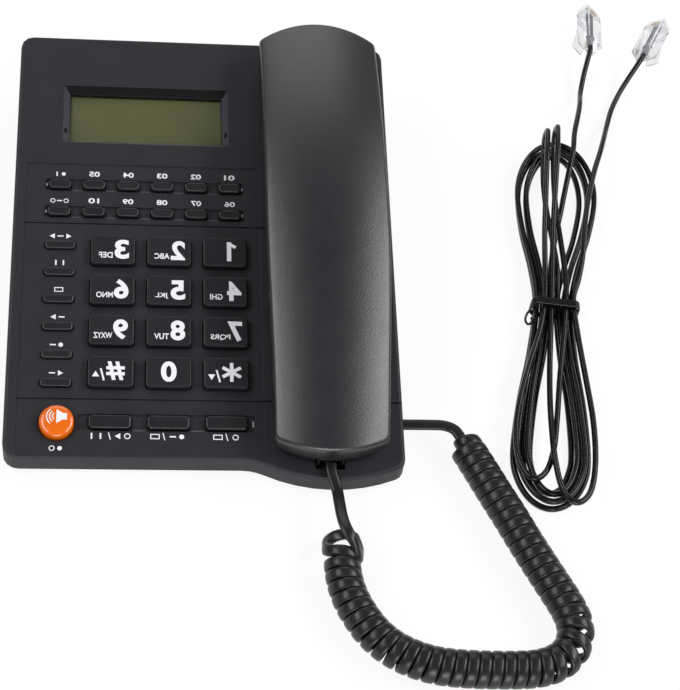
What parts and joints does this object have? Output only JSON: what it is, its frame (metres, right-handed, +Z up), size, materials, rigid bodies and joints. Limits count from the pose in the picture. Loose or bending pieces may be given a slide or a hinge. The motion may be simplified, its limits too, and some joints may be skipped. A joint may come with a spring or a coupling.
{
  "type": "caller id telephone",
  "caption": "A desk telephone with a caller display, dark grey, with a keypad, an orange loudspeaker key, a handset on a curly cord and a line cord tied in a hank.",
  "frame": {"origin": "Under the middle of the telephone, on the surface it stands on; the cords and their plugs aren't counted.", "axes": "X to the right as the telephone is used, Y to the back (away from the user), Z up. The keypad slopes up to the back."},
  "size_m": [0.291, 0.3378, 0.0554],
  "materials": {
    "cover": "fine matt texture",
    "case": "fine matt texture",
    "handset": "satin with a fine grain",
    "keys": "satin, white marks printed on top",
    "orange_key": "glossy, white mark printed on top",
    "display_glass": "clear, smooth",
    "display_panel": "smooth",
    "plugs": "clear, moulded, with gold-coloured contacts",
    "feet": "matt",
    "mat_rubber": "matt",
    "board": "solder-masked",
    "speaker_steel": "plated",
    "jacks": "smooth",
    "cord": "glossy vinyl"
  },
  "bodies": {
    "base": {"top_cover": "cover", "bottom_case": "case", "foot_front_left": "feet", "foot_front_right": "feet", "foot_back_left": "feet", "foot_back_right": "feet", "display_window": "display_glass", "display_module": "display_panel", "keypad_mat": "mat_rubber", "main_board": "board", "base_speaker": "speaker_steel", "line_jack": "jacks", "cord_jack": "jacks", "curly_plug_base": "plugs", "curly_cord": "cord", "line_cord": "cord", "line_plug_a": "plugs", "line_plug_b": "plugs", "cord_tie": "cord"},
    "key_1_body": {"key_1": "keys"},
    "key_2_body": {"key_2": "keys"},
    "key_3_body": {"key_3": "keys"},
    "key_4_body": {"key_4": "keys"},
    "key_5_body": {"key_5": "keys"},
    "key_6_body": {"key_6": "keys"},
    "key_7_body": {"key_7": "keys"},
    "key_8_body": {"key_8": "keys"},
    "key_9_body": {"key_9": "keys"},
    "key_star_body": {"key_star": "keys"},
    "key_0_body": {"key_0": "keys"},
    "key_hash_body": {"key_hash": "keys"},
    "memory_key_01_body": {"memory_key_01": "keys"},
    "memory_key_02_body": {"memory_key_02": "keys"},
    "memory_key_03_body": {"memory_key_03": "keys"},
    "memory_key_04_body": {"memory_key_04": "keys"},
    "memory_key_05_body": {"memory_key_05": "keys"},
    "memory_key_06_body": {"memory_key_06": "keys"},
    "memory_key_07_body": {"memory_key_07": "keys"},
    "memory_key_08_body": {"memory_key_08": "keys"},
    "memory_key_09_body": {"memory_key_09": "keys"},
    "memory_key_10_body": {"memory_key_10": "keys"},
    "memory_key_11_body": {"memory_key_11": "keys"},
    "memory_key_12_body": {"memory_key_12": "keys"},
    "side_key_1_body": {"side_key_1": "keys"},
    "side_key_2_body": {"side_key_2": "keys"},
    "side_key_3_body": {"side_key_3": "keys"},
    "side_key_4_body": {"side_key_4": "keys"},
    "side_key_5_body": {"side_key_5": "keys"},
    "side_key_6_body": {"side_key_6": "keys"},
    "function_key_1_body": {"function_key_1": "keys"},
    "function_key_2_body": {"function_key_2": "keys"},
    "function_key_3_body": {"function_key_3": "keys"},
    "speaker_key_body": {"speaker_key": "orange_key"},
    "handset": {"handset_upper_shell": "handset", "handset_lower_shell": "handset", "receiver_capsule": "speaker_steel", "microphone_capsule": "speaker_steel", "handset_cord_jack": "jacks", "curly_plug_handset": "plugs"},
    "hook_switch_body": {"hook_switch": "keys"}
  },
  "joints": [
    {"name": "handset_lift", "type": "slide", "parent": "base", "child": "handset", "axis": [0, -0.1305, 0.9914], "range_m": [0, 0.06]},
    {"name": "hook_switch_rise", "type": "slide", "parent": "base", "child": "hook_switch_body", "axis": [0, -0.1305, 0.9914], "range_m": [0, 0.003]},
    {"name": "key_1_press", "type": "slide", "parent": "base", "child": "key_1_body", "axis": [0, 0.1305, -0.9914], "range_m": [0, 0.0015], "stiffness_N_per_m": 500},
    {"name": "key_2_press", "type": "slide", "parent": "base", "child": "key_2_body", "axis": [0, 0.1305, -0.9914], "range_m": [0, 0.0015], "stiffness_N_per_m": 500},
    {"name": "key_3_press", "type": "slide", "parent": "base", "child": "key_3_body", "axis": [0, 0.1305, -0.9914], "range_m": [0, 0.0015], "stiffness_N_per_m": 500},
    {"name": "key_4_press", "type": "slide", "parent": "base", "child": "key_4_body", "axis": [0, 0.1305, -0.9914], "range_m": [0, 0.0015], "stiffness_N_per_m": 500},
    {"name": "key_5_press", "type": "slide", "parent": "base", "child": "key_5_body", "axis": [0, 0.1305, -0.9914], "range_m": [0, 0.0015], "stiffness_N_per_m": 500},
    {"name": "key_6_press", "type": "slide", "parent": "base", "child": "key_6_body", "axis": [0, 0.1305, -0.9914], "range_m": [0, 0.0015], "stiffness_N_per_m": 500},
    {"name": "key_7_press", "type": "slide", "parent": "base", "child": "key_7_body", "axis": [0, 0.1305, -0.9914], "range_m": [0, 0.0015], "stiffness_N_per_m": 500},
    {"name": "key_8_press", "type": "slide", "parent": "base", "child": "key_8_body", "axis": [0, 0.1305, -0.9914], "range_m": [0, 0.0015], "stiffness_N_per_m": 500},
    {"name": "key_9_press", "type": "slide", "parent": "base", "child": "key_9_body", "axis": [0, 0.1305, -0.9914], "range_m": [0, 0.0015], "stiffness_N_per_m": 500},
    {"name": "key_star_press", "type": "slide", "parent": "base", "child": "key_star_body", "axis": [0, 0.1305, -0.9914], "range_m": [0, 0.0015], "stiffness_N_per_m": 500},
    {"name": "key_0_press", "type": "slide", "parent": "base", "child": "key_0_body", "axis": [0, 0.1305, -0.9914], "range_m": [0, 0.0015], "stiffness_N_per_m": 500},
    {"name": "key_hash_press", "type": "slide", "parent": "base", "child": "key_hash_body", "axis": [0, 0.1305, -0.9914], "range_m": [0, 0.0015], "stiffness_N_per_m": 500},
    {"name": "memory_key_01_press", "type": "slide", "parent": "base", "child": "memory_key_01_body", "axis": [0, 0.1305, -0.9914], "range_m": [0, 0.001], "stiffness_N_per_m": 600},
    {"name": "memory_key_02_press", "type": "slide", "parent": "base", "child": "memory_key_02_body", "axis": [0, 0.1305, -0.9914], "range_m": [0, 0.001], "stiffness_N_per_m": 600},
    {"name": "memory_key_03_press", "type": "slide", "parent": "base", "child": "memory_key_03_body", "axis": [0, 0.1305, -0.9914], "range_m": [0, 0.001], "stiffness_N_per_m": 600},
    {"name": "memory_key_04_press", "type": "slide", "parent": "base", "child": "memory_key_04_body", "axis": [0, 0.1305, -0.9914], "range_m": [0, 0.001], "stiffness_N_per_m": 600},
    {"name": "memory_key_05_press", "type": "slide", "parent": "base", "child": "memory_key_05_body", "axis": [0, 0.1305, -0.9914], "range_m": [0, 0.001], "stiffness_N_per_m": 600},
    {"name": "memory_key_06_press", "type": "slide", "parent": "base", "child": "memory_key_06_body", "axis": [0, 0.1305, -0.9914], "range_m": [0, 0.001], "stiffness_N_per_m": 600},
    {"name": "memory_key_07_press", "type": "slide", "parent": "base", "child": "memory_key_07_body", "axis": [0, 0.1305, -0.9914], "range_m": [0, 0.001], "stiffness_N_per_m": 600},
    {"name": "memory_key_08_press", "type": "slide", "parent": "base", "child": "memory_key_08_body", "axis": [0, 0.1305, -0.9914], "range_m": [0, 0.001], "stiffness_N_per_m": 600},
    {"name": "memory_key_09_press", "type": "slide", "parent": "base", "child": "memory_key_09_body", "axis": [0, 0.1305, -0.9914], "range_m": [0, 0.001], "stiffness_N_per_m": 600},
    {"name": "memory_key_10_press", "type": "slide", "parent": "base", "child": "memory_key_10_body", "axis": [0, 0.1305, -0.9914], "range_m": [0, 0.001], "stiffness_N_per_m": 600},
    {"name": "memory_key_11_press", "type": "slide", "parent": "base", "child": "memory_key_11_body", "axis": [0, 0.1305, -0.9914], "range_m": [0, 0.001], "stiffness_N_per_m": 600},
    {"name": "memory_key_12_press", "type": "slide", "parent": "base", "child": "memory_key_12_body", "axis": [0, 0.1305, -0.9914], "range_m": [0, 0.001], "stiffness_N_per_m": 600},
    {"name": "side_key_1_press", "type": "slide", "parent": "base", "child": "side_key_1_body", "axis": [0, 0.1305, -0.9914], "range_m": [0, 0.001], "stiffness_N_per_m": 600},
    {"name": "side_key_2_press", "type": "slide", "parent": "base", "child": "side_key_2_body", "axis": [0, 0.1305, -0.9914], "range_m": [0, 0.001], "stiffness_N_per_m": 600},
    {"name": "side_key_3_press", "type": "slide", "parent": "base", "child": "side_key_3_body", "axis": [0, 0.1305, -0.9914], "range_m": [0, 0.001], "stiffness_N_per_m": 600},
    {"name": "side_key_4_press", "type": "slide", "parent": "base", "child": "side_key_4_body", "axis": [0, 0.1305, -0.9914], "range_m": [0, 0.001], "stiffness_N_per_m": 600},
    {"name": "side_key_5_press", "type": "slide", "parent": "base", "child": "side_key_5_body", "axis": [0, 0.1305, -0.9914], "range_m": [0, 0.001], "stiffness_N_per_m": 600},
    {"name": "side_key_6_press", "type": "slide", "parent": "base", "child": "side_key_6_body", "axis": [0, 0.1305, -0.9914], "range_m": [0, 0.001], "stiffness_N_per_m": 600},
    {"name": "function_key_1_press", "type": "slide", "parent": "base", "child": "function_key_1_body", "axis": [0, 0.1305, -0.9914], "range_m": [0, 0.001], "stiffness_N_per_m": 600},
    {"name": "function_key_2_press", "type": "slide", "parent": "base", "child": "function_key_2_body", "axis": [0, 0.1305, -0.9914], "range_m": [0, 0.001], "stiffness_N_per_m": 600},
    {"name": "function_key_3_press", "type": "slide", "parent": "base", "child": "function_key_3_body", "axis": [0, 0.1305, -0.9914], "range_m": [0, 0.001], "stiffness_N_per_m": 600},
    {"name": "speaker_key_press", "type": "slide", "parent": "base", "child": "speaker_key_body", "axis": [0, 0.1305, -0.9914], "range_m": [0, 0.0012], "stiffness_N_per_m": 500}
  ],
  "couplings": [
    {"joint": "hook_switch_rise", "follows": "handset_lift", "ratio": 0.05}
  ]
}
